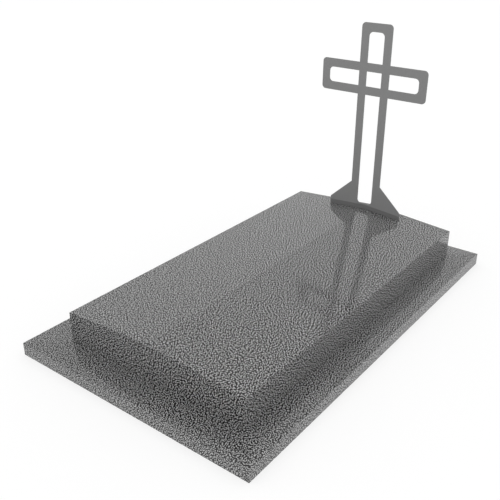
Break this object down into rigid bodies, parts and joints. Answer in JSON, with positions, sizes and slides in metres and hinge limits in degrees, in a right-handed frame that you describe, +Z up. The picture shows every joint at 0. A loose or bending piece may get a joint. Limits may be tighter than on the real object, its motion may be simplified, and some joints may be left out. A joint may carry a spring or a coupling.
{
  "type": "grave monument",
  "caption": "Polished granite grave monument: a thin plinth slab, a gabled ledger slab and an openwork steel cross standing at its head end.",
  "frame": {"origin": "middle of the plinth's underside, on the ground", "axes": "+Y towards the head end, where the cross stands; +X to the right seen from the foot end; +Z up. The cross faces -Y"},
  "size_m": [1.217, 2, 1.2164],
  "materials": {
    "plinth_granite": "polished mid-grey granite with a fine even grain",
    "ledger_granite": "polished mid-grey granite with a fine even grain",
    "cross_steel": "matt mid-grey paint on sheet steel",
    "rail_steel": "matt dark grey paint on flat steel"
  },
  "bodies": {
    "root": {"plinth_slab": "plinth_granite", "ledger_slab": "ledger_granite", "openwork_cross": "cross_steel", "foot_rail": "rail_steel"}
  },
  "joints": []
}
